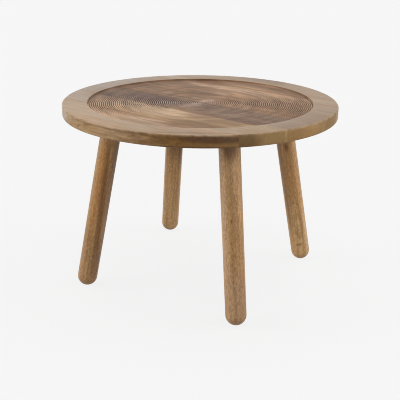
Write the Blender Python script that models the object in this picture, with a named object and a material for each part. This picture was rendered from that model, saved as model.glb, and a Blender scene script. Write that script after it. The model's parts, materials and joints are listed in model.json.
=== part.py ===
"""Round side table: edge-glued boards turned into one slab with a shallow tray, on four splayed legs that unscrew.

Metres, +Z up. The origin is on the floor under the middle of the top, and the legs stand on the diagonals.
"""

from math import cos, pi, radians, sin, sqrt

import bmesh
import bpy

# Top
TABLE_HEIGHT = 0.413
TOP_DIAMETER = 0.600
TOP_THICKNESS = 0.025
RIM_WIDTH = 0.054
TRAY_DEPTH = 0.005
EDGE_ROUND = 0.0025
LIP_ROUND = 0.001

# Rings turned into the tray's floor from the middle to the lip. The solid has the groove of every fifth ring
RING_COUNT = 57
RING_DEPTH = 0.0016
RINGS_PER_GROOVE = 5

# Boards, with the grain along each board's own X
BOARD_COUNT = 6
BOARD_WIDTH = 0.0915
MIDDLE_SEAM = 0.002
GRAIN_ANGLE = radians(-11.25)

# Legs: the axis crosses the underside LEG_INSET from the edge of the top and leans outwards on its way down
LEG_DIAMETER = 0.044
LEG_INSET = 0.1065
LEG_SPLAY = radians(11)
LEG_TOP_CHAMFER = 0.001
FOOT_FLAT = 0.012

# Leg joints: the leg's end is housed in a socket, along the leg's axis, and a hanger bolt screws into an insert
SOCKET_DEPTH = 0.006
INSERT_DIAMETER = 0.012
INSERT_LENGTH = 0.010
INSERT_THREAD_DEPTH = 0.0008
INSERT_PITCH = 0.0025
FLANGE_DIAMETER = 0.016
FLANGE_THICKNESS = 0.0015
BOLT_DIAMETER = 0.008
BOLT_GRIP = 0.040
BOLT_THREAD_DEPTH = 0.0011
BOLT_PITCH = 0.004
BOLT_POINT = 0.004
BOLT_CHAMFER = 0.001

# Gaps between neighbours: a glue line, and a fit on each side
GLUE_LINE = 0.0003
FIT = 0.0003

# Facets
TOP_FACETS = 96
LEG_FACETS = 32
STEEL_FACETS = 12
ROUND_FACETS = 3
BALL_FACETS = 8
BALL_END = radians(85)
SHARP_ANGLE = radians(35)

# Colours, linear
GOLDEN_WOOD = (0.40, 0.25, 0.13, 1)
BROWN_WOOD = (0.29, 0.17, 0.09, 1)
GREY_WOOD = (0.25, 0.17, 0.11, 1)
LEG_WOOD = (0.33, 0.19, 0.09, 1)
ZINC = (0.62, 0.63, 0.65, 1)

UNDERSIDE = TABLE_HEIGHT - TOP_THICKNESS
TOP_RADIUS = TOP_DIAMETER / 2
LEG_RADIUS = LEG_DIAMETER / 2
LEG_CIRCLE_RADIUS = TOP_RADIUS - LEG_INSET
BALL_HEIGHT = sqrt(LEG_RADIUS**2 - (FOOT_FLAT / 2) ** 2)
BOLT_HOLE = BOLT_DIAMETER / 2 + FIT
SOCKET_RADIUS = LEG_RADIUS + FIT
LEG_ANGLES = {
    "back_right": radians(45),
    "back_left": radians(135),
    "front_left": radians(225),
    "front_right": radians(315),
}


def clear_scene():
    for thing in list(bpy.data.objects):
        bpy.data.objects.remove(thing, do_unlink=True)


def finish(name, colour, roughness, metallic=0.0):
    material = bpy.data.materials.new(name)
    material.use_nodes = True
    shader = material.node_tree.nodes["Principled BSDF"]
    shader.inputs["Base Color"].default_value = colour
    shader.inputs["Roughness"].default_value = roughness
    shader.inputs["Metallic"].default_value = metallic
    material.diffuse_color = colour
    return material


def arc(centre, radius, start, end, facets):
    """Points on an arc in the (radius, height) plane of a turned outline, both ends included."""
    steps = [start + (end - start) * i / facets for i in range(facets + 1)]
    return [(centre[0] + radius * cos(step), centre[1] + radius * sin(step)) for step in steps]


def fill_holes(form):
    bmesh.ops.holes_fill(form, edges=[edge for edge in form.edges if edge.is_boundary])
    bmesh.ops.recalc_face_normals(form, faces=form.faces)


def turn(outline, facets, is_ring=False):
    """Spins an outline of (radius, height) points about Z. An open outline gets a flat face at each end."""
    form = bmesh.new()
    points = [form.verts.new((radius, 0, height)) for radius, height in outline]
    edges = [form.edges.new(pair) for pair in zip(points, points[1:])]
    if is_ring:
        edges.append(form.edges.new((points[-1], points[0])))
    bmesh.ops.spin(form, geom=points + edges, axis=(0, 0, 1), angle=2 * pi, steps=facets, use_merge=True)
    fill_holes(form)
    return form


def slice_off(form, point, direction):
    """Cuts the form flat at a point and drops what lies beyond it in that direction."""
    everything = form.verts[:] + form.edges[:] + form.faces[:]
    bmesh.ops.bisect_plane(form, geom=everything, plane_co=point, plane_no=direction, clear_outer=True)
    fill_holes(form)


def mesh_of(name, form, material):
    mesh = bpy.data.meshes.new(name)
    form.to_mesh(mesh)
    form.free()
    mesh.shade_smooth()
    mesh.set_sharp_from_angle(angle=SHARP_ANGLE)
    mesh.materials.append(material)
    return mesh


def place(name, data, parent=None):
    thing = bpy.data.objects.new(name, data)
    bpy.context.scene.collection.objects.link(thing)
    thing.parent = parent
    return thing


def groove_outline(tray_radius, floor):
    """The tray's grooves from the middle out, each as wide as one ring, with the floor level between them."""
    pitch = tray_radius / (RING_COUNT + 0.5)
    points = []
    for ring in range(RINGS_PER_GROOVE // 2, RING_COUNT, RINGS_PER_GROOVE):
        points.append((pitch * ring, floor))
        points.append((pitch * (ring + 0.5), floor - RING_DEPTH))
        points.append((pitch * (ring + 1), floor))
    return points


def top_outline():
    """The slab's turned outline above its underside: grooved tray floor, lip, rim, edge."""
    tray_radius = TOP_RADIUS - RIM_WIDTH
    tray_floor = TOP_THICKNESS - TRAY_DEPTH
    lip = (tray_radius + LIP_ROUND, TOP_THICKNESS - LIP_ROUND)
    upper = (TOP_RADIUS - EDGE_ROUND, TOP_THICKNESS - EDGE_ROUND)
    lower = (TOP_RADIUS - EDGE_ROUND, EDGE_ROUND)
    return [
        *groove_outline(tray_radius, tray_floor),
        (tray_radius, tray_floor),
        *arc(lip, LIP_ROUND, pi, pi / 2, ROUND_FACETS),
        *arc(upper, EDGE_ROUND, pi / 2, 0, ROUND_FACETS),
        *arc(lower, EDGE_ROUND, 0, -pi / 2, ROUND_FACETS),
    ]


def seam_offsets():
    """Distances of the glue lines from the middle of the top, across the grain, front to back."""
    middle = (BOARD_COUNT - 2) / 2
    return [MIDDLE_SEAM + BOARD_WIDTH * (number - middle) for number in range(BOARD_COUNT - 1)]


def board_spans():
    """The front and back limit of each board across the grain, which is None at the edge of the top."""
    seams = seam_offsets()
    fronts = [None] + [seam + GLUE_LINE / 2 for seam in seams]
    backs = [seam - GLUE_LINE / 2 for seam in seams] + [None]
    return list(zip(fronts, backs))


def add_boards(top):
    woods = [
        finish("grey brown board", GREY_WOOD, 0.55),
        finish("brown board", BROWN_WOOD, 0.55),
        finish("golden board", GOLDEN_WOOD, 0.55),
    ]
    slab = turn(top_outline(), TOP_FACETS)
    boards = []
    for number, (front, back) in enumerate(board_spans(), start=1):
        form = slab.copy()
        if front is not None:
            slice_off(form, (0, front, 0), (0, -1, 0))
        if back is not None:
            slice_off(form, (0, back, 0), (0, 1, 0))
        name = f"top_board_{number}"
        boards.append(place(name, mesh_of(name, form, woods[number % len(woods)]), top))
    slab.free()
    return boards


def leg_drop():
    """Length along the axis from the socket's floor to the middle of the ball foot, which stands on its flat."""
    return SOCKET_DEPTH + (UNDERSIDE - BALL_HEIGHT) / cos(LEG_SPLAY)


def leg_form():
    """A leg below the socket's floor, with a blind hole for the bolt and its ball cut level at the floor."""
    drop = leg_drop()
    form = turn(
        [
            (BOLT_HOLE, -BOLT_GRIP - FIT),
            (BOLT_HOLE, -FIT),
            (LEG_RADIUS - LEG_TOP_CHAMFER, -FIT),
            (LEG_RADIUS, -FIT - LEG_TOP_CHAMFER),
            *arc((0, -drop), LEG_RADIUS, 0, -BALL_END, BALL_FACETS),
        ],
        LEG_FACETS,
    )
    down = (-sin(LEG_SPLAY), 0, -cos(LEG_SPLAY))
    slice_off(form, (down[0] * BALL_HEIGHT, 0, -drop + down[2] * BALL_HEIGHT), down)
    return form


def ridges(crest, depth, pitch, start, end):
    """The outline of a thread's crests and roots between two heights, top to bottom."""
    count = max(1, int((start - end) / pitch))
    step = (start - end) / count
    points = []
    for number in range(count):
        points.append((crest, start - step * number))
        points.append((crest - depth, start - step * (number + 0.5)))
    return points + [(crest, end)]


def insert_form():
    """A flanged insert whose flange lies flush with the socket's floor."""
    flange = FLANGE_DIAMETER / 2
    thread = ridges(INSERT_DIAMETER / 2, INSERT_THREAD_DEPTH, INSERT_PITCH, INSERT_LENGTH, FLANGE_THICKNESS)
    rim = [(flange, FLANGE_THICKNESS), (flange, 0)]
    return turn([(BOLT_HOLE, INSERT_LENGTH), *thread, *rim, (BOLT_HOLE, 0)], STEEL_FACETS, is_ring=True)


def bolt_form():
    """A hanger bolt: machine thread up into the insert, wood thread and point down into the leg."""
    radius = BOLT_DIAMETER / 2
    top = INSERT_LENGTH - FIT
    thread = ridges(radius, BOLT_THREAD_DEPTH, BOLT_PITCH, -BOLT_CHAMFER, -BOLT_GRIP + BOLT_POINT)
    tip = (radius - BOLT_THREAD_DEPTH) / 2
    outline = [(radius - BOLT_CHAMFER, top), (radius, top - BOLT_CHAMFER), *thread, (tip, -BOLT_GRIP)]
    return turn(outline, STEEL_FACETS)


def socket_cutter():
    """What a leg takes out of the top: the housing for its end, then the flange's seat and the insert's hole."""
    below = -2 * SOCKET_DEPTH - LEG_DIAMETER * sin(LEG_SPLAY)
    seat = FLANGE_DIAMETER / 2 + FIT
    hole = INSERT_DIAMETER / 2 + FIT
    floor = FLANGE_THICKNESS + FIT
    outline = [
        (hole, INSERT_LENGTH + FIT),
        (hole, floor),
        (seat, floor),
        (seat, 0),
        (SOCKET_RADIUS, 0),
        (SOCKET_RADIUS, below),
    ]
    return turn(outline, LEG_FACETS)


def leg_seat(name, angle):
    """An empty on the socket's floor, with its Z up along the leg's axis and its X outwards."""
    seat = place(f"seat_{name}", None)
    radius = LEG_CIRCLE_RADIUS - SOCKET_DEPTH * sin(LEG_SPLAY)
    seat.location = (radius * cos(angle), radius * sin(angle), UNDERSIDE + SOCKET_DEPTH * cos(LEG_SPLAY))
    seat.rotation_euler = (0, -LEG_SPLAY, angle)
    return seat


def cut_socket(boards, cutter, angle):
    """Cuts a leg's socket into each board that it reaches."""
    offset = LEG_CIRCLE_RADIUS * sin(angle - GRAIN_ANGLE)
    reach = SOCKET_RADIUS / cos(LEG_SPLAY) + SOCKET_DEPTH * sin(LEG_SPLAY)
    for board, (front, back) in zip(boards, board_spans()):
        is_behind = front is not None and front > offset + reach
        is_ahead = back is not None and back < offset - reach
        if is_behind or is_ahead:
            continue
        cut = board.modifiers.new(cutter.name, "BOOLEAN")
        cut.operation = "DIFFERENCE"
        cut.solver = "EXACT"
        cut.object = cutter


def main():
    clear_scene()
    top = place("top", None)
    top.location.z = UNDERSIDE
    top.rotation_euler.z = GRAIN_ANGLE
    boards = add_boards(top)

    leg_wood = finish("leg wood", LEG_WOOD, 0.5)
    zinc = finish("zinc plated steel", ZINC, 0.35, metallic=1.0)
    leg_mesh = mesh_of("leg", leg_form(), leg_wood)
    insert_mesh = mesh_of("insert", insert_form(), zinc)
    bolt_mesh = mesh_of("hanger_bolt", bolt_form(), zinc)
    cutter_mesh = mesh_of("socket_cutter", socket_cutter(), leg_wood)

    for name, angle in LEG_ANGLES.items():
        seat = leg_seat(name, angle)
        place(f"leg_{name}", leg_mesh, seat)
        place(f"insert_{name}", insert_mesh, seat)
        place(f"hanger_bolt_{name}", bolt_mesh, seat)
        cutter = place(f"socket_{name}", cutter_mesh, seat)
        cutter.hide_render = True
        cutter.display_type = "WIRE"
        cut_socket(boards, cutter, angle)


main()
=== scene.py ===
"""The looks of a round side table: six edge-glued boards with a ringed tray, on four splayed turned legs.

Metres, +Z up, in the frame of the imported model. A board's own X runs along its grain from the middle of
the underside, and a leg's own Z runs up its axis from the floor of its socket, with X outwards.
"""
import json
from collections import namedtuple
from math import atan2, ceil, cos, exp, pi, radians, sin, sqrt

import bmesh
import bpy
from mathutils import Matrix, Vector, noise


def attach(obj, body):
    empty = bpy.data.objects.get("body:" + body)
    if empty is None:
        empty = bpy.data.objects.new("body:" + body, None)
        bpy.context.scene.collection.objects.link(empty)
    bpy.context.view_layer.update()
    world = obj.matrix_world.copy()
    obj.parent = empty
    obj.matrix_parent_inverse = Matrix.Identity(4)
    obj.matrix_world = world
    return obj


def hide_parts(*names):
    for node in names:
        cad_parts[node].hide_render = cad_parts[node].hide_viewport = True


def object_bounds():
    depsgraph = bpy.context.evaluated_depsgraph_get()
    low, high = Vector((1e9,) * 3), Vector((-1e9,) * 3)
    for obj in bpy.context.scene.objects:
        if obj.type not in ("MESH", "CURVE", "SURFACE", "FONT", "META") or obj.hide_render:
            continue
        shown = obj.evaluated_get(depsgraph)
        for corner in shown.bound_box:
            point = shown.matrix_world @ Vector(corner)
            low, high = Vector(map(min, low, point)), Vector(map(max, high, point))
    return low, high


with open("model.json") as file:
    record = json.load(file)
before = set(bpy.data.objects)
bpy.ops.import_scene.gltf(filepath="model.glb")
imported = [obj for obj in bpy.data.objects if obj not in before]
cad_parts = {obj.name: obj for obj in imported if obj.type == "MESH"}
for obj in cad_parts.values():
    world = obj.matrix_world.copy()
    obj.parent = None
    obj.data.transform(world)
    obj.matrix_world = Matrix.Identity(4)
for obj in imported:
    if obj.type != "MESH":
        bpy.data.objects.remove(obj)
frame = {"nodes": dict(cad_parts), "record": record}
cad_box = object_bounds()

# Sizes that the frame gives
PLACES = {mount["name"]: Vector(mount["pos_m"]) for mount in frame["record"]["mounts"]}
TOP_RADIUS = cad_box[1].x
UNDERSIDE = PLACES["underside"].z
TOP_THICKNESS = PLACES["rim_top"].z - UNDERSIDE
TRAY_FLOOR = PLACES["tray_floor"].z - UNDERSIDE
LEG_ANGLES = {
    name.removeprefix("foot_"): atan2(foot.y, foot.x)
    for name, foot in PLACES.items()
    if name.startswith("foot_")
}

# Top, with the crests of the rings level with the tray's floor and their last valley at the tray's wall
RIM_WIDTH = 0.054
LIP_ROUND = 0.001
EDGE_ROUND = 0.0025
RING_COUNT = 57
RING_DEPTH = 0.0016
RINGS_TO_WALL = RING_COUNT + 0.5
TRAY_RADIUS = TOP_RADIUS - RIM_WIDTH
RING_PITCH = TRAY_RADIUS / RINGS_TO_WALL

# Wear of the upper edge: how much it takes off, and where it is heaviest, as an angle from the grain
EDGE_WEAR = 0.0007
WORN_WEAR = 0.0016
WORN_ANGLE = radians(-93)
WORN_SPREAD = radians(11)

# Ripples of the wear, each as noise with so many cells to the radius in a layer of its own, and the share
# of the wear that is even
Ripple = namedtuple("Ripple", "cells layer")
COARSE_RIPPLE = Ripple(9, 0.3)
FINE_RIPPLE = Ripple(31, 4.1)
CHIPS = Ripple(47, 8.7)
EVEN_WEAR = 0.35

# Boards, from front to back
BOARD_COUNT = 6
BOARD_WIDTH = 0.0915
MIDDLE_SEAM = 0.002
GRAIN_ANGLE = radians(-11.25)
GLUE_LINE = 0.0001

# Legs and their joints, which follow the solids
LEG_RADIUS = 0.022
LEG_INSET = 0.1065
LEG_SPLAY = radians(11)
LEG_TOP_CHAMFER = 0.001
FOOT_FLAT = 0.012
SOCKET_DEPTH = 0.006
INSERT_HOLE = 0.0063
INSERT_LENGTH = 0.010
FLANGE_SEAT = 0.0083
FLANGE_THICKNESS = 0.0015
BOLT_HOLE = 0.0043
BOLT_GRIP = 0.040
FIT = 0.0003
LEG_CIRCLE_RADIUS = TOP_RADIUS - LEG_INSET
BALL_HEIGHT = sqrt(LEG_RADIUS**2 - (FOOT_FLAT / 2) ** 2)
LEG_DROP = SOCKET_DEPTH + (UNDERSIDE - BALL_HEIGHT) / cos(LEG_SPLAY)
SLAB_MATRIX = Matrix.Translation((0, 0, UNDERSIDE)) @ Matrix.Rotation(GRAIN_ANGLE, 4, "Z")

# Unevenness of the legs: its depth, its noise cells to the metre round and along the leg, and the length
# of the upper end that has none
LEG_UNEVENNESS = 0.00015
UNEVEN_ROUND = 90
UNEVEN_ALONG = 14
EVEN_END = 2 * SOCKET_DEPTH

# Facets
TOP_FACETS = 192
RING_FACETS = 6
EDGE_FACETS = 6
LEG_FACETS = 64
LEG_ROW_LENGTH = 0.012
BALL_FACETS = 14
BALL_END = radians(85)
SOCKET_FACETS = 48
FLOOR_FACETS = 128
SHARP_ANGLE = radians(35)

# Camera, at the photograph's viewing angle. Its direction is counted round from -Y
VIEW_ANGLE = radians(27.81)
VIEW_ELEVATION = radians(19.327)
VIEW_DISTANCE = 1.6491
VIEW_YAW = radians(0.0693)
VIEW_PITCH = radians(0.9259)
VIEW_ROLL = radians(0.6818)
LENS = 64.52
SENSOR = 36.0

# Width of the pixel filter, narrow enough to keep the rings
FILTER_WIDTH = 1.0

# Surroundings: how bright they look, and how much light they give the table
BACKGROUND = 0.92
SKY_LIGHT = 0.2

# Floor: how bright it looks, how much light it gives, how much it throws back, and its size and gap
FLOOR_SHOWN = 0.83
FLOOR_BOUNCE = 0.1
FLOOR_ALBEDO = 0.11
FLOOR_RADIUS = 9.0
FLOOR_GAP = 0.0004

# Soft, distant lamps: how many degrees to the right of the camera and how many up they stand, how strong
# they are, and how many degrees wide they look
Lamp = namedtuple("Lamp", "side height strength width")
LAMPS = {
    "left lamp": Lamp(-90, 12, 2.1, 50),
    "top lamp": Lamp(180, 80, 0.86, 60),
    "right lamp": Lamp(90, 26, 1.1, 50),
    "front lamp": Lamp(20, 12, 1.1, 50),
}


def colour(red, green, blue):
    """A colour as a screen shows it, from 0 to 255, made linear."""
    shares = [value / 255 for value in (red, green, blue)]
    linear = [share / 12.92 if share <= 0.04045 else ((share + 0.055) / 1.055) ** 2.4 for share in shares]
    return (*linear, 1.0)


def bell(value, spread):
    return exp(-((value / spread) ** 2))


# Forms


def arc(centre, radius, start, end, facets):
    """Points on an arc in the (radius, height) plane of a turned outline, both ends included."""
    steps = [start + (end - start) * i / facets for i in range(facets + 1)]
    return [(centre[0] + radius * cos(step), centre[1] + radius * sin(step)) for step in steps]


def fill_holes(form):
    bmesh.ops.holes_fill(form, edges=[edge for edge in form.edges if edge.is_boundary])
    bmesh.ops.recalc_face_normals(form, faces=form.faces)


def turn(outline, facets):
    """Spins an outline of (radius, height) points about Z and closes both ends with a flat face."""
    size = len(outline)
    angles = [2 * pi * step / facets for step in range(facets)]
    points = [
        (radius * cos(angle), radius * sin(angle), height)
        for angle in angles
        for radius, height in outline
    ]
    faces = []
    for step in range(facets):
        here = step * size
        there = (step + 1) % facets * size
        faces += [(here + i, here + i + 1, there + i + 1, there + i) for i in range(size - 1)]
    faces.append(range(0, facets * size, size))
    faces.append(range(size - 1, facets * size, size))
    mesh = bpy.data.meshes.new("turned")
    mesh.from_pydata(points, [], faces)
    form = bmesh.new()
    form.from_mesh(mesh)
    bpy.data.meshes.remove(mesh)
    bmesh.ops.recalc_face_normals(form, faces=form.faces)
    return form


def slice_off(form, point, direction):
    """Cuts the form flat at a point and drops what lies beyond it in that direction."""
    everything = form.verts[:] + form.edges[:] + form.faces[:]
    bmesh.ops.bisect_plane(form, geom=everything, plane_co=point, plane_no=direction, clear_outer=True)
    fill_holes(form)


def mesh_of(name, form, matrix):
    """The form as a mesh in the frame's own coordinates."""
    mesh = bpy.data.meshes.new(name)
    form.to_mesh(mesh)
    form.free()
    mesh.transform(matrix)
    return mesh


def shade_round(mesh):
    mesh.shade_smooth()
    mesh.set_sharp_from_angle(angle=SHARP_ANGLE)


def place(name, data):
    thing = bpy.data.objects.new(name, data)
    bpy.context.scene.collection.objects.link(thing)
    return thing


def ring_outline():
    """The tray's turned rings from the middle out: rounded crests that meet in sharp valleys."""
    steps = ceil(RINGS_TO_WALL * RING_FACETS)
    radii = [RING_PITCH * step / RING_FACETS for step in range(1, steps + 1)]
    valleys = [1 - abs(cos(pi * radius / RING_PITCH)) for radius in radii]
    return [(radius, TRAY_FLOOR - RING_DEPTH * valley) for radius, valley in zip(radii, valleys)]


def slab_outline():
    """The slab's outline above its underside: rings, lip, rim, edge."""
    lip = (TRAY_RADIUS + LIP_ROUND, TOP_THICKNESS - LIP_ROUND)
    upper = (TOP_RADIUS - EDGE_ROUND, TOP_THICKNESS - EDGE_ROUND)
    lower = (TOP_RADIUS - EDGE_ROUND, EDGE_ROUND)
    return [
        *ring_outline(),
        *arc(lip, LIP_ROUND, pi, pi / 2, EDGE_FACETS),
        *arc(upper, EDGE_ROUND, pi / 2, 0, EDGE_FACETS),
        *arc(lower, EDGE_ROUND, 0, -pi / 2, EDGE_FACETS),
    ]


def ripple_at(angle, ripple):
    """Noise about 0 that closes up round the edge."""
    return noise.noise((ripple.cells * cos(angle), ripple.cells * sin(angle), ripple.layer))


def wear_at(angle):
    """How far the upper edge is worn back at an angle from the grain."""
    rippled = ripple_at(angle, COARSE_RIPPLE) + 0.5 * ripple_at(angle, FINE_RIPPLE)
    heavy = bell(atan2(sin(angle - WORN_ANGLE), cos(angle - WORN_ANGLE)), WORN_SPREAD)
    chipped = 0.5 + 0.5 * ripple_at(angle, CHIPS)
    return max(0.0, EDGE_WEAR * (EVEN_WEAR + rippled) + WORN_WEAR * heavy * chipped)


def wear_edge(form):
    """Flattens the rounded upper edge by its wear, most in the middle of the rounding."""
    for vert in form.verts:
        out = vert.co.xy.length - (TOP_RADIUS - EDGE_ROUND)
        up = vert.co.z - (TOP_THICKNESS - EDGE_ROUND)
        if out > 0 and up > 0:
            angle = atan2(vert.co.y, vert.co.x)
            step = wear_at(angle) * sin(2 * atan2(up, out)) / sqrt(2)
            vert.co -= Vector((step * cos(angle), step * sin(angle), step))


def seam_offsets():
    """Where the glue lines lie across the grain, from front to back."""
    middle = (BOARD_COUNT - 2) / 2
    return [MIDDLE_SEAM + BOARD_WIDTH * (number - middle) for number in range(BOARD_COUNT - 1)]


def board_forms():
    """The turned slab, ripped into its boards from front to back."""
    rest = turn(slab_outline(), TOP_FACETS)
    wear_edge(rest)
    boards = []
    for seam in seam_offsets():
        board = rest.copy()
        slice_off(board, (0, seam - GLUE_LINE / 2, 0), (0, 1, 0))
        slice_off(rest, (0, seam + GLUE_LINE / 2, 0), (0, -1, 0))
        boards.append(board)
    return [*boards, rest]


def make_uneven(form):
    """Makes a leg's side slightly uneven, apart from its upper end and its bolt's hole."""
    for vert in form.verts:
        if vert.co.z < -EVEN_END and vert.co.xy.length > BOLT_HOLE + FIT:
            x, y, z = vert.co
            bump = noise.noise((UNEVEN_ROUND * x, UNEVEN_ROUND * y, UNEVEN_ALONG * z))
            vert.co.xy *= 1 + LEG_UNEVENNESS / LEG_RADIUS * bump


def leg_form():
    """A leg below the socket's floor, with a blind hole for its bolt and a ball foot cut level."""
    rows = ceil(LEG_DROP / LEG_ROW_LENGTH)
    shaft_top = -FIT - LEG_TOP_CHAMFER
    shaft = [(LEG_RADIUS, shaft_top + (-LEG_DROP - shaft_top) * row / rows) for row in range(rows)]
    outline = [
        (BOLT_HOLE, -BOLT_GRIP - FIT),
        (BOLT_HOLE, -FIT),
        (LEG_RADIUS - LEG_TOP_CHAMFER, -FIT),
        *shaft,
        *arc((0, -LEG_DROP), LEG_RADIUS, 0, -BALL_END, BALL_FACETS),
    ]
    form = turn(outline, LEG_FACETS)
    make_uneven(form)
    down = Vector((-sin(LEG_SPLAY), 0, -cos(LEG_SPLAY)))
    slice_off(form, Vector((0, 0, -LEG_DROP)) + down * BALL_HEIGHT, down)
    return form


def socket_form():
    """What a leg takes out of the top: its end's housing, the flange's seat and the insert's hole.

    It reaches below the underside all round the leaning leg.
    """
    below = -2 * SOCKET_DEPTH - 2 * LEG_RADIUS * sin(LEG_SPLAY)
    floor = FLANGE_THICKNESS + FIT
    outline = [
        (INSERT_HOLE, INSERT_LENGTH + FIT),
        (INSERT_HOLE, floor),
        (FLANGE_SEAT, floor),
        (FLANGE_SEAT, 0),
        (LEG_RADIUS + FIT, 0),
        (LEG_RADIUS + FIT, below),
    ]
    return turn(outline, SOCKET_FACETS)


def seat_matrix(angle):
    """The frame of a leg: its origin on the socket's floor, Z up along the axis, X outwards."""
    radius = LEG_CIRCLE_RADIUS - SOCKET_DEPTH * sin(LEG_SPLAY)
    spot = Vector((radius * cos(angle), radius * sin(angle), UNDERSIDE + SOCKET_DEPTH * cos(LEG_SPLAY)))
    return Matrix.Translation(spot) @ Matrix.Rotation(angle, 4, "Z") @ Matrix.Rotation(-LEG_SPLAY, 4, "Y")


def cut_sockets(board, cutters):
    """Takes the legs' sockets out of a board and keeps the result as its mesh."""
    for cutter in cutters:
        cut = board.modifiers.new(cutter.name, "BOOLEAN")
        cut.operation = "DIFFERENCE"
        cut.solver = "MANIFOLD"
        cut.object = cutter
    bpy.context.view_layer.update()
    mesh = bpy.data.meshes.new_from_object(board.evaluated_get(bpy.context.evaluated_depsgraph_get()))
    board.modifiers.clear()
    board.data = mesh


# Materials

# A layer of noise: its cells to the metre along each axis, its detail and its roughness, and its middle
Layer = namedtuple("Layer", "cells detail roughness", defaults=[2.0, 0.55])
NOISE_MIDDLE = (0.5, 0.5, 0.5)


class Shade:
    """A material built from plain calls, most of which return the socket that holds their result."""

    def __init__(self, name):
        self.material = bpy.data.materials.new(name)
        self.material.use_nodes = True
        self.nodes = self.material.node_tree.nodes
        self.links = self.material.node_tree.links
        self.surface = self.nodes["Principled BSDF"].inputs

    def feed(self, socket, value):
        if isinstance(value, bpy.types.NodeSocket):
            self.links.new(value, socket)
        else:
            socket.default_value = value

    def node(self, kind, values, output=0, **settings):
        made = self.nodes.new(kind)
        for key, value in settings.items():
            setattr(made, key, value)
        for key, value in values.items():
            self.feed(made.inputs[key], value)
        return made.outputs[output]

    def maths(self, operation, *values, clamp=False):
        return self.node("ShaderNodeMath", dict(enumerate(values)), operation=operation, use_clamp=clamp)

    def vector(self, operation, *values, output="Vector"):
        return self.node("ShaderNodeVectorMath", dict(enumerate(values)), output, operation=operation)

    def scaled(self, vector, factor):
        return self.node("ShaderNodeVectorMath", {"Vector": vector, "Scale": factor}, operation="SCALE")

    def parts(self, vector):
        made = self.nodes.new("ShaderNodeSeparateXYZ")
        self.feed(made.inputs[0], vector)
        return made.outputs

    def noise(self, spot, layer, output=0):
        """A layer of noise about 0.5."""
        cells = self.vector("MULTIPLY", spot, layer.cells)
        values = {"Vector": cells, "Scale": 1.0, "Detail": layer.detail, "Roughness": layer.roughness}
        return self.node("ShaderNodeTexNoise", values, output)

    def fade(self, value, start, end):
        """Eases from 0 at start to 1 at end."""
        values = {"Value": value, "From Min": start, "From Max": end}
        return self.node("ShaderNodeMapRange", values, interpolation_type="SMOOTHSTEP")

    def spread(self, value, least, most):
        """Carries 0 to 1 over to least to most."""
        values = {"Value": value, "To Min": least, "To Max": most}
        return self.node("ShaderNodeMapRange", values, clamp=False)

    # The mix node has inputs 2 and 3 for numbers, and inputs 6 and 7 and output 2 for colours

    def mix(self, share, first, second):
        """A number between first and second."""
        return self.node("ShaderNodeMix", {0: share, 2: first, 3: second}, data_type="FLOAT")

    def blend(self, share, first, second):
        """A colour, first with second over it by a share."""
        return self.node("ShaderNodeMix", {0: share, 6: first, 7: second}, 2, data_type="RGBA")

    def tinted(self, share, tone, tint):
        """A tone, multiplied by a tint by a share."""
        return self.blend(share, tone, self.vector("MULTIPLY", tone, tint))

    def relief(self, height, strength, depth):
        """Gives the surface a fine relief that leaves its shape as it is."""
        values = {"Strength": strength, "Distance": depth, "Height": height}
        self.feed(self.surface["Normal"], self.node("ShaderNodeBump", values))


# A mark in the wood, such as a streak or a knot: its middle and its reach along, across and through the
# grain, how far it drifts across and through for each metre along, its tone and share, and how much of it
# is hollow
Mark = namedtuple("Mark", "middle reach drift tone share hollow", defaults=[0])

# How much of a mark's reach shows it in full, how far a streak reaches for its length, and how hollow an
# oval is
MARK_HEART = 0.35
STREAK_REACH = 0.7
OVAL_HOLLOW = 0.6

# A kind of wood: how far its streaks, its flecks and the lines of its growth rings change its tone, the
# layer of its flecks, and the gloss of its lacquer
Grain = namedtuple("Grain", "streaks flecks growth fleck_layer gloss")
BOARD_GRAIN = Grain(0.3, 0.3, 0.0, Layer((24, 150, 150), 3, 0.7), 0.3)
LEG_GRAIN = Grain(0.3, 0.8, 0.1, Layer((150, 320, 320), 3, 0.7), 0.36)

# How far the grain takes each of red, green and blue
GRAIN_TINT = (0.85, 1.0, 1.2)

# Layers that both woods have, with X along the grain, the limits between which some of them come to show,
# and how far apart in them two pieces of wood lie
SWAY = Layer((2.4, 8, 8))
FIGURE = Layer((1.4, 34, 34), 3)
FIGURE_SHOWS = (0.36, 0.64)
STREAKS = Layer((4.5, 170, 170), 3, 0.6)
FIBRES = Layer((24, 1200, 1200))
PORES = Layer((75, 1900, 1900), 1)
PORES_SHOW = (0.62, 0.72)
DRIFT = Layer((3, 10, 10))
DRIFT_SHOWS = (0.4, 0.7)
SEED_STEP = (0.731, 0.417, 0.193)

# How far the sway of the grain shifts the figure, the growth rings and the marks
FIGURE_SWAY = 0.018
GROWTH_SWAY = 0.02
MARK_SWAY = 0.01

# How far the warm drift shows, and how far the fibres and the pores change the tone
DRIFT_SHARE = 0.6
FIBRE_CONTRAST = 0.1
PORE_CONTRAST = 0.22

# Relief of the fibres beside that of the pores, and of both on the surface
FIBRE_RELIEF = 0.5
WOOD_RELIEF = 0.25
WOOD_RELIEF_DEPTH = 0.0003

# Roughness of the lacquer on the darkest and on the lightest streaks
WOOD_ROUGHNESS = (0.56, 0.36)

# Growth rings: how far apart they are, where the middle of the tree lies from the middle of the piece,
# how far they close in along the grain, and the part of their wave that shows
GROWTH_PITCH = 0.007
TREE_MIDDLE = (0.0, 0.034, 0.026)
TREE_TAPER = 0.06
GROWTH_SHOWS = (0.2, 1.0)

# How squarely a face meets the grain where it begins to show end grain and where it shows nothing else
END_GRAIN_SHOWS = (0.15, 0.95)

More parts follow.
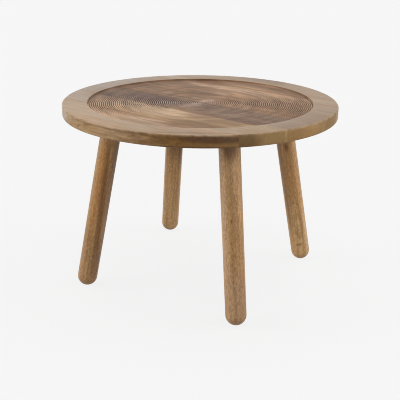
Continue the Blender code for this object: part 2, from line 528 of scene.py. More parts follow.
# Tones of one piece of wood: its light and dark figure, its warm drift and its end grain
Look = namedtuple("Look", "light dark warm end")
# The boards' tones are greyed in part as painted sheen of the lacquered top, which the edge's tint warms
# back
BOARD_LOOKS = [
    Look(colour(190, 163, 138), colour(170, 140, 112), colour(178, 144, 112), colour(170, 138, 102)),
    Look(colour(178, 153, 126), colour(160, 132, 102), colour(175, 143, 106), colour(153, 125, 86)),
    Look(colour(152, 129, 111), colour(138, 114, 97), colour(145, 117, 94), colour(164, 130, 80)),
    Look(colour(156, 130, 107), colour(143, 116, 93), colour(155, 124, 96), colour(148, 117, 66)),
    Look(colour(168, 142, 117), colour(154, 127, 103), colour(164, 133, 104), colour(160, 128, 82)),
    Look(colour(162, 136, 113), colour(149, 122, 99), colour(159, 127, 98), colour(164, 130, 94)),
]
LEG_LOOK = Look(colour(208, 165, 115), colour(173, 131, 86), colour(202, 151, 93), colour(162, 120, 80))


def streak(start, end, width, depth, tone, share):
    """A mark that runs from one place in the wood to another."""
    run = Vector(end) - Vector(start)
    middle = (Vector(start) + Vector(end)) / 2
    reach = (STREAK_REACH * abs(run.x), width, depth)
    return Mark(middle, reach, (0, run.y / run.x, run.z / run.x), tone, share)


def patch(middle, reach, tone, share):
    return Mark(middle, reach, (0, 0, 0), tone, share)


def oval(middle, reach, tone, share):
    """The line of a growth ring that the surface cuts nearly flat."""
    return Mark(middle, reach, (0, 0, 0), tone, share, OVAL_HOLLOW)


def mark_share(shade, spot, mark):
    """The share of a mark in its heart, easing to 0 at its reach and, in a hollow mark, inwards too."""
    moved = shade.vector("SUBTRACT", spot, mark.middle)
    along = shade.parts(moved)["X"]
    straight = shade.vector("MULTIPLY_ADD", along, [-value for value in mark.drift], moved)
    distance = shade.vector("LENGTH", shade.vector("DIVIDE", straight, mark.reach), output="Value")
    share = shade.maths("MULTIPLY", shade.fade(distance, 1.0, max(MARK_HEART, mark.hollow)), mark.share)
    if mark.hollow:
        share = shade.maths("MULTIPLY", share, shade.fade(distance, 2 * mark.hollow - 1, mark.hollow))
    return share


def grain_spot(shade, matrix):
    """The place along, across and through the grain in metres, and the share of end grain."""
    coordinates = shade.nodes.new("ShaderNodeTexCoord").outputs
    turned = {"Rotation": matrix.to_euler()}
    place_values = {"Vector": coordinates["Object"], "Location": matrix.to_translation(), **turned}
    spot = shade.node("ShaderNodeMapping", place_values, vector_type="TEXTURE")
    normal_values = {"Vector": coordinates["Normal"], **turned}
    normal = shade.node("ShaderNodeMapping", normal_values, vector_type="TEXTURE")
    squareness = shade.maths("ABSOLUTE", shade.parts(normal)["X"])
    return spot, shade.fade(squareness, *END_GRAIN_SHOWS)


def growth_lines(shade, spot):
    """1 on the lines of the growth rings round the middle of the tree."""
    from_tree = shade.vector("SUBTRACT", spot, TREE_MIDDLE)
    tapered = shade.vector("MULTIPLY", from_tree, (TREE_TAPER, 1, 1))
    distance = shade.vector("LENGTH", tapered, output="Value")
    wave = shade.maths("SINE", shade.maths("MULTIPLY", distance, 2 * pi / GROWTH_PITCH))
    return shade.fade(wave, *GROWTH_SHOWS)


# A wood in the making, with what its last tones are made from
Wood = namedtuple("Wood", "shade spot end_grain tone contrast roughness")


def wood(name, look, grain, matrix, seed, marks):
    """Lacquered hardwood with its figure, streaks, flecks, fibres, pores, growth rings and marks.

    The matrix places the wood, whose X runs along the grain.
    """
    shade = Shade(name)
    spot, end_grain = grain_spot(shade, matrix)
    field = shade.vector("ADD", spot, [step * seed for step in SEED_STEP])
    sway = shade.vector("SUBTRACT", shade.noise(field, SWAY, output=1), NOISE_MIDDLE)

    def swayed(straight, shift):
        return shade.vector("MULTIPLY_ADD", sway, (0, shift, shift), straight)

    grain_field = swayed(field, FIGURE_SWAY)
    figure = shade.fade(shade.noise(grain_field, FIGURE), *FIGURE_SHOWS)
    streaks = shade.noise(grain_field, STREAKS)
    flecks = shade.noise(grain_field, grain.fleck_layer)
    fibres = shade.noise(grain_field, FIBRES)
    pores = shade.fade(shade.noise(grain_field, PORES), *PORES_SHOW)
    drift = shade.fade(shade.noise(field, DRIFT), *DRIFT_SHOWS)
    growth = growth_lines(shade, swayed(spot, GROWTH_SWAY))

    tone = shade.blend(figure, look.light, look.dark)
    tone = shade.blend(shade.maths("MULTIPLY", drift, DRIFT_SHARE), tone, look.warm)
    marked = swayed(spot, MARK_SWAY)
    for mark in marks:
        tone = shade.blend(mark_share(shade, marked, mark), tone, mark.tone)

    contrast = shade.spread(streaks, -grain.streaks, grain.streaks)
    contrast = shade.maths("ADD", contrast, shade.spread(flecks, -grain.flecks, grain.flecks))
    contrast = shade.maths("ADD", contrast, shade.spread(fibres, -FIBRE_CONTRAST, FIBRE_CONTRAST))
    contrast = shade.maths("SUBTRACT", contrast, shade.maths("MULTIPLY", pores, PORE_CONTRAST))
    contrast = shade.maths("SUBTRACT", contrast, shade.maths("MULTIPLY", growth, grain.growth))

    height = shade.maths("SUBTRACT", shade.maths("MULTIPLY", fibres, FIBRE_RELIEF), pores)
    shade.relief(height, WOOD_RELIEF, WOOD_RELIEF_DEPTH)
    roughness = shade.spread(streaks, *WOOD_ROUGHNESS)
    shade.feed(shade.surface["Roughness"], roughness)
    shade.surface["Specular IOR Level"].default_value = grain.gloss
    return Wood(shade, spot, end_grain, tone, contrast, roughness)


def grained(shade, tone, contrast, light):
    """The tone with its grain, so light in all. The dark parts of the grain are warm."""
    share = shade.vector("MULTIPLY_ADD", contrast, GRAIN_TINT, (light, light, light))
    return shade.vector("MULTIPLY", tone, share)


# Looks of the top

# How strongly the grain shows on the rim, in the tray, and on the edge's long grain and end grain
RIM_GRAIN = 0.9
TRAY_GRAIN = 0.44
EDGE_GRAIN = 2.7
END_GRAIN = 0.75

# The rim's greyer tone, partly dust and partly painted sheen of the lacquer, and how far it hides the
# boards' own
RIM_DUST_AND_SHEEN_TONE = colour(169, 143, 114)
RIM_CALM = 0.6

# The edge: its tint, which warms the boards' tones back from their painted sheen, and how far the tone of
# its end grain shows
EDGE_TINT = (0.93, 0.84, 0.62)
EDGE_END_SHARE = 0.7

# The crest of the edge, pale in patches, partly from wear and partly as painted highlight: their tone and
# share, how far in and down they reach, and their layer with the limits between which it comes to show
WORN_HIGHLIGHT_TONE = colour(214, 188, 158)
WORN_HIGHLIGHT_SHARE = 0.25
WORN_HIGHLIGHT_WIDTH = 2 * EDGE_ROUND
WORN_HIGHLIGHT_DROP = 1.6 * EDGE_ROUND
WORN_HIGHLIGHT_PATCHES = Layer((60, 60, 60), 3)
PATCHES_SHOW = (0.42, 0.62)

# The tray: its tint, how light its rings look where they run with the grain and where they cut through
# it, partly the wood's own tone and partly a painted reflection of the turned rings, and how squarely they
# have to cut it for that
TRAY_TINT = (1.15, 1.125, 1.115)
WITH_GRAIN_LIGHT = 1.16
CUT_GRAIN_LIGHT = 0.92
FULL_CUT = 0.75

# Lighter and darker arcs along the rings, as a layer over the way out from the middle and the radius
ARCS = Layer((1.8, 1.8, 75.0), 3, 0.7)
ARC_STRENGTH = 0.8

# Grooves between the rings: their tint, partly painted shade and partly dirt and wax in the valleys, the
# boards that show them darker still, their roughness, and the shares of their depth where they begin to
# show and where they show in full
GROOVE_TINT = (0.66, 0.54, 0.41)
GROOVE_SHADE = {3: 0.36}
GROOVE_ROUGHNESS = 0.95
GROOVE_SHOWS = (0.05, 0.7)

# The way from the middle to the tray's shaded side. A place's lean is 1 on that side and -1 opposite
SHADED_WAY = (-0.695, 0.719, 0.0)

# The floor's tint on the shaded side, painted shade that the wall casts there, and the radii and the leans
# between which it comes to show
SHADED_TINT = (0.78, 0.77, 0.79)
SHADED_RADII = (0.203, 0.228)
SHADED_LEANS = (0.3, 0.85)

# The last groove, in rings from the wall, its least share, and the leans between which it becomes full.
# Its valley's darkness is painted shade, deepest on the shaded side
LAST_GROOVE = (1.2, 0.7)
LAST_LEAST = 0.12
LAST_LEANS = (-0.1, 0.7)

# The wall, darkened by painted shade that is deepest under the lip and on the shaded side: its tint, its
# least share and the leans between which it becomes full, its share at the foot and at the lip, and, as
# shares of the lip's rounding, how far inside the tray's radius it begins to show and shows in full
WALL_TINT = (0.61, 0.52, 0.43)
WALL_LEAST = 0.35
WALL_LEANS = (-0.3, 0.45)
WALL_RISE = (0.15, 1.25)
WALL_SHOWS = (0.6, 0.1)

# A place on the top: along the grain, out from the middle, above the underside, and its way outwards
Spot = namedtuple("Spot", "along radius height way")


def top_spot(shade, spot):
    x, y, height = shade.parts(spot)
    flat = shade.node("ShaderNodeCombineXYZ", {"X": x, "Y": y})
    radius = shade.vector("LENGTH", flat, output="Value")
    return Spot(x, radius, height, shade.vector("NORMALIZE", flat))


def ring_light(shade, top):
    """How light the turned rings look, by the way they run through the grain, partly a painted reflection,
    and by their arcs.
    """
    full_cut = shade.maths("MULTIPLY", top.radius, FULL_CUT)
    cut_share = shade.maths("DIVIDE", shade.maths("ABSOLUTE", top.along), full_cut, clamp=True)
    light = shade.spread(cut_share, WITH_GRAIN_LIGHT, CUT_GRAIN_LIGHT)
    round_spot = shade.vector("ADD", top.way, shade.node("ShaderNodeCombineXYZ", {"Z": top.radius}))
    arcs = shade.noise(round_spot, ARCS)
    return shade.maths("MULTIPLY", light, shade.spread(arcs, 1 - ARC_STRENGTH, 1 + ARC_STRENGTH))


def groove_depth(shade, top, lean):
    """1 in the valleys and 0 on the crests of the rings, with a fainter last valley in the light."""
    depth = shade.fade(top.height, *[TRAY_FLOOR - RING_DEPTH * share for share in GROOVE_SHOWS])
    at_last = shade.fade(top.radius, *[TRAY_RADIUS - rings * RING_PITCH for rings in LAST_GROOVE])
    last_share = shade.spread(shade.fade(lean, *LAST_LEANS), LAST_LEAST, 1.0)
    return shade.mix(at_last, depth, shade.maths("MULTIPLY", depth, last_share))


def tray_tone(made, number, top):
    """The tone of the tray with its grooves and the painted shade of its shaded side and its wall, and the
    grooves' depth.
    """
    shade = made.shade
    lean = shade.vector("DOT_PRODUCT", top.way, SHADED_WAY, output="Value")
    depth = groove_depth(shade, top, lean)
    turned = shade.vector("MULTIPLY", shade.scaled(made.tone, ring_light(shade, top)), TRAY_TINT)
    turned = shade.tinted(depth, turned, [GROOVE_SHADE.get(number, 1.0) * value for value in GROOVE_TINT])

    near_wall = shade.fade(top.radius, *SHADED_RADII)
    shaded = shade.maths("MULTIPLY", near_wall, shade.fade(lean, *SHADED_LEANS))
    on_floor = shade.tinted(shaded, turned, SHADED_TINT)
    rise = shade.fade(top.height, TRAY_FLOOR, TOP_THICKNESS - LIP_ROUND)
    wall_shade = shade.spread(shade.fade(lean, *WALL_LEANS), WALL_LEAST, 1.0)
    wall_shade = shade.maths("MULTIPLY", wall_shade, shade.spread(rise, *WALL_RISE))
    on_wall = shade.tinted(wall_shade, turned, WALL_TINT)
    at_wall = shade.fade(top.radius, *[TRAY_RADIUS - share * LIP_ROUND for share in WALL_SHOWS])
    return shade.blend(at_wall, on_floor, on_wall), depth


def rim_tone(made, number, on_rim):
    """The wood's tone, calmed and marked on the rim, whose grey is partly dust and partly painted sheen.
    """
    shade = made.shade
    tone = shade.blend(shade.maths("MULTIPLY", on_rim, RIM_CALM), made.tone, RIM_DUST_AND_SHEEN_TONE)
    for mark in RIM_MARKS.get(number, []):
        share = shade.maths("MULTIPLY", mark_share(shade, made.spot, mark), on_rim)
        tone = shade.blend(share, tone, mark.tone)
    return tone


def edge_tone(made, number, look):
    """The warm tone of the edge, with its end grain and its marks."""
    shade = made.shade
    end_share = shade.maths("MULTIPLY", made.end_grain, EDGE_END_SHARE)
    tone = shade.vector("MULTIPLY", shade.blend(end_share, made.tone, look.end), EDGE_TINT)
    for mark in EDGE_MARKS.get(number, []):
        tone = shade.blend(mark_share(shade, made.spot, mark), tone, mark.tone)
    return tone


def worn_highlight_share(made, top):
    """How pale the crest of the edge is, partly from wear and partly as painted highlight."""
    shade = made.shade
    near_edge = shade.fade(top.radius, TOP_RADIUS - WORN_HIGHLIGHT_WIDTH, TOP_RADIUS - EDGE_ROUND / 2)
    near_top = shade.fade(top.height, TOP_THICKNESS - WORN_HIGHLIGHT_DROP, TOP_THICKNESS - EDGE_ROUND / 2)
    patches = shade.fade(shade.noise(made.spot, WORN_HIGHLIGHT_PATCHES), *PATCHES_SHOW)
    rubbed = shade.maths("MULTIPLY", shade.maths("MULTIPLY", near_edge, near_top), patches)
    return shade.maths("MULTIPLY", rubbed, WORN_HIGHLIGHT_SHARE)


def board_wood(number):
    """A board's wood: ringed in the tray, calm on the rim, warm and rubbed round the edge, with shade,
    sheen and highlight painted in.
    """
    look = BOARD_LOOKS[number - 1]
    marks = BOARD_MARKS[number - 1]
    made = wood(f"board {number} wood", look, BOARD_GRAIN, SLAB_MATRIX, number, marks)
    shade = made.shade
    top = top_spot(shade, made.spot)
    is_upper = shade.maths("GREATER_THAN", top.height, TOP_THICKNESS / 2)
    is_inside = shade.maths("LESS_THAN", top.radius, TRAY_RADIUS + LIP_ROUND / 2)
    in_tray = shade.maths("MULTIPLY", is_inside, is_upper)
    on_edge = shade.fade(top.radius, TOP_RADIUS - EDGE_ROUND, TOP_RADIUS - EDGE_ROUND / 3)
    on_rim = shade.maths("SUBTRACT", shade.maths("SUBTRACT", is_upper, in_tray), on_edge, clamp=True)

    turned, depth = tray_tone(made, number, top)
    tone = shade.blend(in_tray, rim_tone(made, number, on_rim), turned)
    tone = shade.blend(on_edge, tone, edge_tone(made, number, look))
    strength = shade.mix(in_tray, RIM_GRAIN, TRAY_GRAIN)
    strength = shade.mix(on_edge, strength, shade.mix(made.end_grain, EDGE_GRAIN, END_GRAIN))
    tone = grained(shade, tone, shade.maths("MULTIPLY", made.contrast, strength), 1.0)
    tone = shade.blend(worn_highlight_share(made, top), tone, WORN_HIGHLIGHT_TONE)
    shade.feed(shade.surface["Base Color"], tone)

    in_groove = shade.maths("MULTIPLY", depth, in_tray)
    shade.feed(shade.surface["Roughness"], shade.mix(in_groove, made.roughness, GROOVE_ROUGHNESS))
    return shade.material


# Looks of the legs: how light each wood is, how far its end grain shows, and the first of their seeds
LEG_LIGHT = {"front_left": 0.85, "front_right": 0.97, "back_right": 1.01, "back_left": 0.95}
LEG_END_SHARE = 0.5
LEG_SEED = 11


def leg_wood(name):
    """A leg's wood, with its grain along the leg's axis."""
    seed = LEG_SEED + sorted(LEG_ANGLES).index(name)
    matrix = seat_matrix(LEG_ANGLES[name]) @ Matrix.Rotation(-pi / 2, 4, "Y")
    marks = [kind(name, *values) for kind, *values in LEG_MARKS[name]]
    made = wood(f"{name} leg wood", LEG_LOOK, LEG_GRAIN, matrix, seed, marks)
    shade = made.shade
    end_share = shade.maths("MULTIPLY", made.end_grain, LEG_END_SHARE)
    tone = shade.blend(end_share, made.tone, LEG_LOOK.end)
    shade.feed(shade.surface["Base Color"], grained(shade, tone, made.contrast, LEG_LIGHT[name]))
    return shade.material


# Looks of the steel: the tones of its zinc and the cloud between them, its scuffs with their relief, and
# the roughness that they give it
ZINC_BLUE = colour(196, 199, 205)
ZINC_YELLOW = colour(206, 202, 188)
CLOUD = Layer((180, 180, 180), 3)
CLOUD_SHOWS = (0.35, 0.65)
SCUFFS = Layer((900, 900, 2600), 2)
SCUFF_RELIEF = 0.1
SCUFF_DEPTH = 0.0001
ZINC_ROUGHNESS = (0.22, 0.5)


def zinc_steel():
    """Zinc plating with a faint yellow and blue cloud and fine scuffs."""
    shade = Shade("zinc plated steel")
    spot = shade.nodes.new("ShaderNodeTexCoord").outputs["Object"]
    cloud = shade.fade(shade.noise(spot, CLOUD), *CLOUD_SHOWS)
    scuffs = shade.noise(spot, SCUFFS)
    shade.feed(shade.surface["Base Color"], shade.blend(cloud, ZINC_BLUE, ZINC_YELLOW))
    shade.feed(shade.surface["Roughness"], shade.spread(scuffs, *ZINC_ROUGHNESS))
    shade.relief(scuffs, SCUFF_RELIEF, SCUFF_DEPTH)
    shade.surface["Metallic"].default_value = 1.0
    return shade.material


# Marks

# Marks of the boards, from front to back, as places along and across the grain and above the underside.
# The two at the back share one, which is painted shade beside the tray's wall at the back
BACK_WALL_PAINTED_SHADE = patch((-0.125, 0.190, 0.02), (0.08, 0.036, 0.05), colour(116, 80, 54), 0.58)
BOARD_MARKS = [
    [
        patch((-0.12, -0.24, 0.025), (0.13, 0.06, 0.03), colour(210, 185, 160), 0.7),
        patch((0.14, -0.22, 0.025), (0.12, 0.06, 0.03), colour(160, 128, 100), 0.6),
        patch((0.02, -0.205, 0.020), (0.09, 0.035, 0.05), colour(176, 158, 141), 0.55),
        patch((0.095, -0.190, 0.020), (0.05, 0.018, 0.05), colour(128, 98, 72), 0.55),
        streak((-0.12, -0.186, 0.020), (0.06, -0.186, 0.020), 0.008, 0.03, colour(150, 126, 106), 0.42),
    ],
    [
        patch((-0.030, -0.126, 0.02), (0.12, 0.05, 0.05), colour(199, 178, 154), 0.56),
        patch((-0.055, -0.098, 0.02), (0.06, 0.016, 0.05), colour(140, 118, 103), 0.4),
        streak((-0.22, -0.094, 0.02), (-0.06, -0.120, 0.02), 0.022, 0.05, colour(118, 98, 87), 0.55),
        patch((-0.208, -0.106, 0.02), (0.055, 0.036, 0.05), colour(118, 98, 86), 0.6),
        patch((0.110, -0.110, 0.02), (0.09, 0.026, 0.05), colour(130, 102, 78), 0.38),
        patch((-0.085, -0.148, 0.02), (0.07, 0.022, 0.05), colour(210, 180, 144), 0.3),
        patch((0.12, -0.165, 0.02), (0.11, 0.035, 0.05), colour(124, 97, 74), 0.55),
        patch((-0.18, -0.13, 0.02), (0.10, 0.06, 0.05), colour(164, 139, 121), 0.55),
        streak((-0.18, -0.175, 0.02), (0.12, -0.176, 0.02), 0.006, 0.03, colour(130, 102, 78), 0.38),
    ],
    [
        # The first patch is partly the board's dark wood and partly painted shade where the rings'
        # reflection is dark on the left
        patch((-0.12, -0.04, 0.02), (0.12, 0.05, 0.05), colour(128, 105, 97), 0.75),
        patch((0.045, -0.045, 0.02), (0.04, 0.03, 0.05), colour(122, 101, 88), 0.5),
        # The patch below, pale at the middle of the tray, is a painted glint of the turned rings
        patch((0.000, -0.026, 0.02), (0.028, 0.034, 0.05), colour(188, 168, 157), 0.45),
        patch((0.115, -0.040, 0.02), (0.07, 0.03, 0.05), colour(172, 150, 132), 0.28),
        patch((-0.042, -0.052, 0.02), (0.045, 0.03, 0.05), colour(172, 152, 139), 0.45),
        patch((-0.215, -0.080, 0.02), (0.04, 0.03, 0.05), colour(108, 90, 82), 0.45),
        patch((-0.075, -0.022, 0.02), (0.05, 0.02, 0.05), colour(106, 86, 77), 0.4),
        patch((-0.225, -0.030, 0.02), (0.03, 0.03, 0.05), colour(180, 152, 130), 0.3),
    ],
    [
        # The first patch, pale at the middle of the tray, is a painted glint of the turned rings
        patch((0.012, 0.018, 0.02), (0.030, 0.028, 0.05), colour(198, 176, 164), 0.42),
        patch((-0.018, 0.047, 0.02), (0.04, 0.024, 0.05), colour(132, 112, 99), 0.5),
        patch((-0.095, 0.012, 0.02), (0.035, 0.016, 0.05), colour(112, 92, 86), 0.35),
        patch((0.15, 0.07, 0.02), (0.12, 0.05, 0.05), colour(147, 118, 91), 0.5),
        streak((0.03, 0.015, 0.02), (0.17, 0.040, 0.02), 0.022, 0.05, colour(187, 155, 126), 0.5),
        patch((-0.06, 0.082, 0.02), (0.07, 0.025, 0.05), colour(120, 97, 79), 0.68),
        patch((-0.045, 0.022, 0.02), (0.03, 0.018, 0.05), colour(184, 158, 142), 0.24),
        patch((-0.15, 0.035, 0.02), (0.06, 0.025, 0.05), colour(162, 143, 130), 0.28),
        streak((-0.15, 0.06, 0.02), (0.15, 0.058, 0.02), 0.010, 0.03, colour(128, 102, 80), 0.35),
    ],
    [
        patch((-0.10, 0.13, 0.02), (0.13, 0.05, 0.05), colour(134, 108, 88), 0.6),
        patch((0.13, 0.165, 0.02), (0.12, 0.04, 0.05), colour(184, 157, 131), 0.5),
        patch((0.020, 0.168, 0.02), (0.08, 0.035, 0.05), colour(200, 174, 154), 0.32),
        patch((-0.02, 0.105, 0.02), (0.03, 0.018, 0.05), colour(190, 166, 150), 0.35),
        patch((0.165, 0.110, 0.02), (0.07, 0.03, 0.05), colour(142, 111, 82), 0.55),
        patch((0.14, 0.175, 0.02), (0.08, 0.025, 0.05), colour(192, 160, 130), 0.32),
        patch((-0.092, 0.159, 0.02), (0.10, 0.025, 0.05), colour(208, 177, 152), 0.6),
        BACK_WALL_PAINTED_SHADE,
    ],
    [
        BACK_WALL_PAINTED_SHADE,
        patch((0.03, 0.225, 0.02), (0.06, 0.022, 0.05), colour(120, 96, 72), 0.35),
        patch((-0.04, 0.27, 0.025), (0.13, 0.06, 0.02), colour(144, 116, 92), 0.6),
    ],
]

# Marks that only the rim of a board shows
RIM_LEFT = patch((-0.285, 0.01, 0.025), (0.07, 0.25, 0.03), colour(166, 150, 140), 0.6)
RIM_RIGHT = patch((0.275, 0.01, 0.025), (0.06, 0.16, 0.03), colour(140, 114, 98), 0.3)
RIM_MARKS = {
    1: [
        patch((-0.03, -0.285, 0.025), (0.11, 0.035, 0.03), colour(196, 156, 118), 0.4),
        streak((0.10, -0.280, 0.025), (0.24, -0.172, 0.025), 0.012, 0.03, colour(116, 84, 54), 0.35),
        patch((0.155, -0.195, 0.025), (0.07, 0.022, 0.03), colour(192, 154, 120), 0.45),
    ],
    2: [
        RIM_LEFT,
        RIM_RIGHT,
        patch((-0.215, -0.165, 0.025), (0.06, 0.05, 0.03), colour(177, 160, 149), 0.5),
    ],
    3: [RIM_LEFT, RIM_RIGHT],
    4: [RIM_LEFT, RIM_RIGHT],
    5: [
        RIM_LEFT,
        RIM_RIGHT,
        patch((-0.22, 0.165, 0.025), (0.06, 0.03, 0.03), colour(190, 168, 146), 0.5),
    ],
    6: [patch((-0.04, 0.288, 0.025), (0.15, 0.04, 0.03), colour(122, 99, 83), 0.5)],
}

# Marks that only the edge of a board shows
EDGE_MARKS = {
    1: [
        patch((-0.060, -0.290, 0.0125), (0.064, 0.05, 0.03), colour(166, 125, 68), 0.74),
        streak((-0.09, -0.285, 0.0060), (0.04, -0.297, 0.0070), 0.03, 0.007, colour(192, 155, 112), 0.62),
        streak((-0.14, -0.265, 0.0220), (-0.05, -0.296, 0.0215), 0.03, 0.0045, colour(138, 102, 62), 0.35),
        patch((-0.175, -0.243, 0.0125), (0.07, 0.05, 0.03), colour(176, 158, 144), 0.8),
        streak((0.00, -0.300, 0.0218), (0.15, -0.260, 0.0195), 0.025, 0.0052, colour(100, 68, 34), 0.7),
        streak((0.03, -0.299, 0.0060), (0.13, -0.270, 0.0080), 0.025, 0.0060, colour(118, 84, 48), 0.5),
        streak((0.10, -0.283, 0.012), (0.26, -0.150, 0.012), 0.060, 0.030, colour(118, 80, 26), 0.9),
        streak((0.15, -0.260, 0.019), (0.26, -0.160, 0.015), 0.040, 0.011, colour(78, 46, 5), 0.93),
        # The streak below, a thin dark line at the foot of the front edge, is painted shadow under the
        # lower rounding
        streak((0.10, -0.283, 0.001), (0.25, -0.166, 0.001), 0.050, 0.004, colour(86, 58, 26), 0.8),
        patch((-0.045, -0.296, 0.0195), (0.030, 0.01, 0.004), colour(112, 82, 50), 0.5),
        patch((0.075, -0.290, 0.0150), (0.035, 0.03, 0.009), colour(168, 132, 96), 0.4),
        patch((0.127, -0.272, 0.0155), (0.026, 0.03, 0.013), colour(92, 62, 28), 0.4),
    ],
    2: [
        patch((0.240, -0.174, 0.012), (0.05, 0.048, 0.03), colour(106, 78, 40), 0.86),
        patch((0.2847, -0.0945, 0.012), (0.02, 0.0035, 0.03), colour(182, 150, 108), 0.42),
    ],
    3: [
        patch((0.298, -0.02, 0.012), (0.03, 0.05, 0.03), colour(176, 134, 74), 0.35),
    ],
    4: [
        patch((0.298, 0.01, 0.012), (0.03, 0.03, 0.03), colour(176, 134, 74), 0.35),
        patch((0.29, 0.070, 0.012), (0.05, 0.055, 0.03), colour(134, 97, 26), 0.9),
    ],
}


# Marks of the legs


def on_leg(name, drop, turned):
    """A place on a leg's side, so far below its socket's floor.

    It is turned by degrees to the right of the side that faces the camera.
    """
    angle = VIEW_ANGLE - pi / 2 - LEG_ANGLES[name] + radians(turned)
    return (-drop, LEG_RADIUS * sin(angle), -LEG_RADIUS * cos(angle))


def leg_streak(name, start, end, width, tone, share):
    """A streak between two places on a leg's side, each given as its drop and its turn."""
    return streak(on_leg(name, *start), on_leg(name, *end), width, width, tone, share)


def leg_patch(name, middle, reach, tone, share):
    return patch(on_leg(name, *middle), reach, tone, share)


def leg_oval(name, middle, reach, tone, share):
    return oval(on_leg(name, *middle), reach, tone, share)


# Each row is the kind of a mark and, but for the leg's name, its values
LEG_MARKS = {
    "front_left": [
        (leg_streak, (0.02, -25), (0.30, -15), 0.010, colour(204, 144, 76), 0.66),
        (leg_streak, (0.05, 4), (0.18, 2), 0.008, colour(204, 134, 56), 0.42),
        (leg_streak, (0.00, 55), (0.40, 64), 0.016, colour(138, 107, 82), 0.64),
        (leg_streak, (0.02, 58), (0.15, 58), 0.012, colour(120, 90, 66), 0.4),
        (leg_streak, (0.05, 8), (0.36, 26), 0.010, colour(126, 80, 28), 0.82),
        (leg_patch, (0.36, -40), (0.08, 0.02, 0.02), colour(204, 160, 114), 0.55),
        (leg_streak, (0.26, 6), (0.40, 10), 0.008, colour(124, 86, 50), 0.4),
        (leg_streak, (0.16, 58), (0.28, 58), 0.008, colour(170, 132, 98), 0.4),
        (leg_streak, (0.28, 40), (0.40, 36), 0.014, colour(134, 98, 68), 0.6),
    ],
    "front_right": [
        (leg_streak, (0.08, -3), (0.36, 4), 0.010, colour(170, 128, 76), 0.6),
        (leg_streak, (0.06, 46), (0.20, 42), 0.009, colour(226, 182, 134), 0.5),
        (leg_streak, (0.04, -52), (0.33, -49), 0.012, colour(206, 172, 142), 0.5),
        (leg_streak, (0.27, 54), (0.40, 48), 0.012, colour(162, 126, 92), 0.55),
        (leg_patch, (0.180, -4), (0.006, 0.003, 0.003), colour(96, 62, 30), 0.6),
        (leg_patch, (0.35, 0), (0.10, 0.03, 0.03), colour(178, 142, 110), 0.5),
        (leg_streak, (0.02, -2), (0.15, -4), 0.009, colour(126, 92, 56), 0.25),
        # The patch below is painted shadow of the top on the leg's upper end
        (leg_patch, (0.020, -6), (0.060, 0.022, 0.022), colour(98, 58, 18), 0.85),
    ],
    "back_right": [
        (leg_streak, (0.03, -55), (0.32, -52), 0.012, colour(132, 98, 68), 0.65),
        (leg_streak, (0.05, 55), (0.38, 50), 0.012, colour(222, 178, 124), 0.6),
        # The streak below, pale low down on the side facing the camera, is partly pale wood and partly
        # painted light from the front
        (leg_streak, (0.24, -10), (0.40, 0), 0.013, colour(228, 186, 132), 0.8),
        (leg_patch, (0.098, -6.5), (0.013, 0.007, 0.007), colour(94, 52, 28), 0.82),
        (leg_streak, (0.26, 54), (0.40, 46), 0.010, colour(228, 192, 152), 0.5),
        (leg_oval, (0.302, 3), (0.046, 0.0165, 0.0165), colour(136, 96, 52), 0.3),
        (leg_oval, (0.322, 2), (0.024, 0.0085, 0.0085), colour(140, 100, 58), 0.2),
        (leg_streak, (0.04, 2), (0.20, 2), 0.012, colour(158, 108, 52), 0.25),
        (leg_patch, (0.355, -6), (0.006, 0.011, 0.011), colour(122, 82, 44), 0.5),
        (leg_patch, (0.241, -12), (0.003, 0.007, 0.007), colour(128, 92, 60), 0.5),
        (leg_patch, (0.246, 14), (0.003, 0.005, 0.005), colour(128, 92, 60), 0.5),
    ],
    "back_left": [
        # The first patch is painted shadow of the top on the leg's upper part
        (leg_patch, (0.105, 0), (0.095, 0.045, 0.045), colour(134, 96, 60), 0.78),
        # The streak below, pale low down on the side facing the camera, is partly pale wood and partly
        # painted light from the front
        (leg_streak, (0.20, 0), (0.42, 0), 0.014, colour(228, 184, 130), 0.72),
        (leg_streak, (0.16, 18), (0.36, 10), 0.004, colour(160, 122, 84), 0.3),
        # The two dark streaks below, on the upper sides, are partly the leg's own streaks and partly
        # painted shadow of the top
        (leg_streak, (0.02, 50), (0.20, 48), 0.013, colour(106, 66, 26), 0.78),
        (leg_streak, (0.02, -50), (0.18, -48), 0.012, colour(122, 84, 52), 0.35),
        (leg_streak, (0.16, 4), (0.28, 4), 0.007, colour(212, 160, 102), 0.5),
        (leg_streak, (0.17, -50), (0.25, -50), 0.010, colour(172, 130, 94), 0.5),
        (leg_streak, (0.27, -52), (0.40, -46), 0.010, colour(230, 190, 144), 0.26),
    ],
}


# Pieces


def add_boards():
    cutters = [
        place(f"socket_{name}", mesh_of("socket", socket_form(), seat_matrix(angle)))
        for name, angle in LEG_ANGLES.items()
    ]
    for number, form in enumerate(board_forms(), start=1):
        node = f"top_board_{number}"
        board = place(f"board_{number}", mesh_of(node, form, SLAB_MATRIX))
        cut_sockets(board, cutters)
        shade_round(board.data)
        board.data.materials.clear()
        board.data.materials.append(board_wood(number))
        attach(board, "root")
        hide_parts(node)
    for cutter in cutters:
        bpy.data.objects.remove(cutter)


def add_legs():
    for name, angle in LEG_ANGLES.items():
        leg = place(f"turned_leg_{name}", mesh_of(f"turned_leg_{name}", leg_form(), seat_matrix(angle)))
        shade_round(leg.data)
        leg.data.materials.append(leg_wood(name))
        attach(leg, "root")
        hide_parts(f"leg_{name}")


def dress_steel():
    steel = zinc_steel()
    for name, thing in frame["nodes"].items():
        if name.startswith(("insert_", "hanger_bolt_")):
            for material_slot in thing.material_slots:
                material_slot.link = "OBJECT"
                material_slot.material = steel


# Camera, floor and light


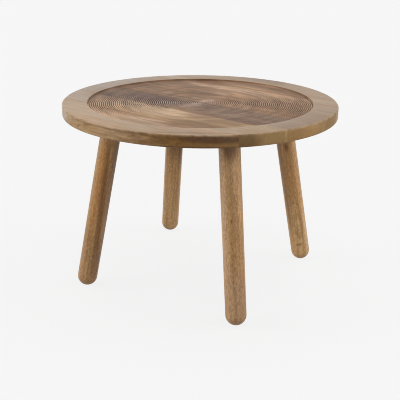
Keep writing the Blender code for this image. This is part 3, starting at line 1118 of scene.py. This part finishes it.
def add_camera():
    camera = place("camera", bpy.data.cameras.new("camera"))
    camera.data.lens = LENS
    camera.data.sensor_width = SENSOR
    turn_to = Matrix.Rotation(VIEW_ANGLE, 4, "Z")
    back = Vector((0, -cos(VIEW_ELEVATION), sin(VIEW_ELEVATION)))
    middle = Vector((0, 0, (UNDERSIDE + TOP_THICKNESS) / 2))
    camera.matrix_world = (
        Matrix.Translation(middle + turn_to @ (back * VIEW_DISTANCE))
        @ Matrix.Rotation(VIEW_ANGLE - VIEW_YAW, 4, "Z")
        @ Matrix.Rotation(pi / 2 - VIEW_ELEVATION - VIEW_PITCH, 4, "X")
        @ Matrix.Rotation(VIEW_ROLL, 4, "Z")
    )
    bpy.context.scene.camera = camera


def shown_share(tree):
    """1 for rays that see the surroundings straight, mirrored or through glass, and 0 for others."""
    path = tree.nodes.new("ShaderNodeLightPath").outputs
    share = path["Is Camera Ray"]
    for kind in ("Is Glossy Ray", "Is Transmission Ray"):
        larger = tree.nodes.new("ShaderNodeMath")
        larger.operation = "MAXIMUM"
        tree.links.new(share, larger.inputs[0])
        tree.links.new(path[kind], larger.inputs[1])
        share = larger.outputs[0]
    return share


def strength_between(tree, share, lit, shown):
    """A strength of lit where the share is 0 and shown where it is 1."""
    between = tree.nodes.new("ShaderNodeMapRange")
    tree.links.new(share, between.inputs["Value"])
    between.inputs["To Min"].default_value = lit
    between.inputs["To Max"].default_value = shown
    return between.outputs[0]


def add_floor():
    """A pale floor that looks bright by itself, so that the table's shadow on it stays faint."""
    form = bmesh.new()
    bmesh.ops.create_circle(form, cap_ends=True, radius=FLOOR_RADIUS, segments=FLOOR_FACETS)
    floor = place("floor", mesh_of("floor", form, Matrix.Translation((0, 0, -FLOOR_GAP))))
    material = bpy.data.materials.new("pale floor")
    material.use_nodes = True
    tree = material.node_tree
    tree.nodes.clear()
    glow = tree.nodes.new("ShaderNodeEmission")
    strength = strength_between(tree, shown_share(tree), FLOOR_BOUNCE, FLOOR_SHOWN)
    tree.links.new(strength, glow.inputs["Strength"])
    matt = tree.nodes.new("ShaderNodeBsdfDiffuse")
    matt.inputs["Color"].default_value = (FLOOR_ALBEDO, FLOOR_ALBEDO, FLOOR_ALBEDO, 1)
    both = tree.nodes.new("ShaderNodeAddShader")
    tree.links.new(glow.outputs[0], both.inputs[0])
    tree.links.new(matt.outputs[0], both.inputs[1])
    output = tree.nodes.new("ShaderNodeOutputMaterial")
    tree.links.new(both.outputs[0], output.inputs["Surface"])
    floor.data.materials.append(material)


def add_sky():
    """Even surroundings that light the table less than they show."""
    world = bpy.data.worlds.new("studio")
    world.use_nodes = True
    tree = world.node_tree
    background = tree.nodes["Background"]
    background.inputs["Color"].default_value = (1, 1, 1, 1)
    strength = strength_between(tree, shown_share(tree), SKY_LIGHT, BACKGROUND)
    tree.links.new(strength, background.inputs["Strength"])
    bpy.context.scene.world = world


def add_lamps():
    for name, lamp in LAMPS.items():
        light = bpy.data.lights.new(name, "SUN")
        light.energy = lamp.strength
        light.angle = radians(lamp.width)
        turned = Matrix.Rotation(VIEW_ANGLE + radians(lamp.side), 4, "Z")
        raised = Matrix.Rotation(pi / 2 - radians(lamp.height), 4, "X")
        place(name, light).matrix_world = turned @ raised


def set_up_view():
    """Plain colours, and a pixel filter and a denoiser that keep fine detail."""
    scene = bpy.context.scene
    scene.view_settings.view_transform = "Standard"
    scene.cycles.filter_width = FILTER_WIDTH
    scene.cycles.denoising_prefilter = "NONE"


set_up_view()
add_boards()
add_legs()
dress_steel()
add_floor()
add_sky()
add_lamps()
add_camera()
